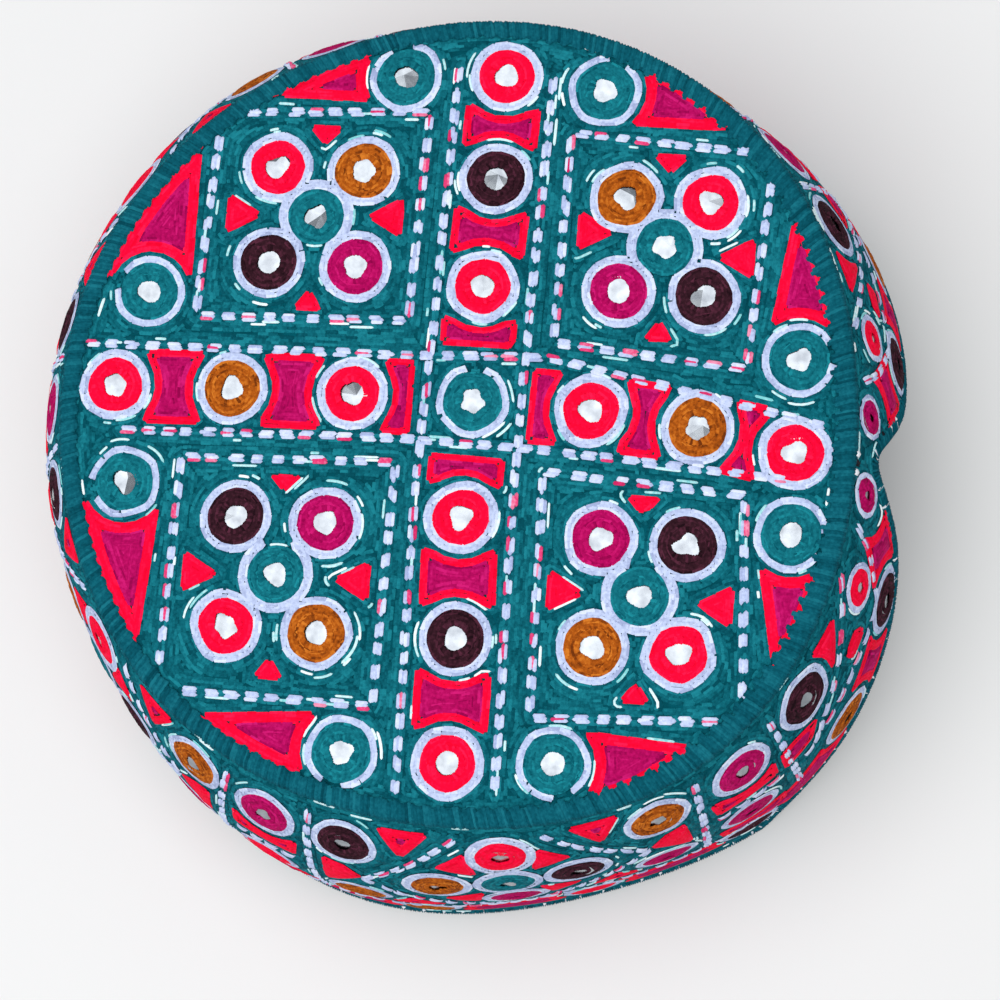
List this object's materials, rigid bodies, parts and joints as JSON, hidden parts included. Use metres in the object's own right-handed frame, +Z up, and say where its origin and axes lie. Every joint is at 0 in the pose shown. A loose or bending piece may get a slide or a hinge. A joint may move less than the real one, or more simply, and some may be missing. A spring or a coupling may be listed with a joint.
{
  "type": "sindhi cap",
  "caption": "Embroidered sindhi cap with a flat round crown, mirror work and an arched front opening.",
  "frame": {"origin": "middle of the bottom of the cap's box, on the surface that the rim rests on", "axes": "+Z up, -Y toward the front with its arched opening, +X toward one side"},
  "size_m": [0.1874, 0.1846, 0.075],
  "materials": {
    "embroidered_cloth": "matte",
    "seam_thread": "matte",
    "edge_thread": "matte",
    "mirror": "polished"
  },
  "bodies": {
    "root": {"crown_panel": "embroidered_cloth", "side_wall": "embroidered_cloth", "crown_seam": "seam_thread", "rim_edging": "edge_thread", "crown_mirror_01": "mirror", "crown_mirror_02": "mirror", "crown_mirror_03": "mirror", "crown_mirror_04": "mirror", "crown_mirror_05": "mirror", "crown_mirror_06": "mirror", "crown_mirror_07": "mirror", "crown_mirror_08": "mirror", "crown_mirror_09": "mirror", "crown_mirror_10": "mirror", "crown_mirror_11": "mirror", "crown_mirror_12": "mirror", "crown_mirror_13": "mirror", "crown_mirror_14": "mirror", "crown_mirror_15": "mirror", "crown_mirror_16": "mirror", "crown_mirror_17": "mirror", "crown_mirror_18": "mirror", "crown_mirror_19": "mirror", "crown_mirror_20": "mirror", "crown_mirror_21": "mirror", "crown_mirror_22": "mirror", "crown_mirror_23": "mirror", "crown_mirror_24": "mirror", "crown_mirror_25": "mirror", "crown_mirror_26": "mirror", "crown_mirror_27": "mirror", "crown_mirror_28": "mirror", "crown_mirror_29": "mirror", "crown_mirror_30": "mirror", "crown_mirror_31": "mirror", "crown_mirror_32": "mirror", "crown_mirror_33": "mirror", "crown_mirror_34": "mirror", "crown_mirror_35": "mirror", "crown_mirror_36": "mirror", "crown_mirror_37": "mirror", "crown_mirror_38": "mirror", "crown_mirror_39": "mirror", "crown_mirror_40": "mirror", "crown_mirror_41": "mirror"}
  },
  "joints": []
}
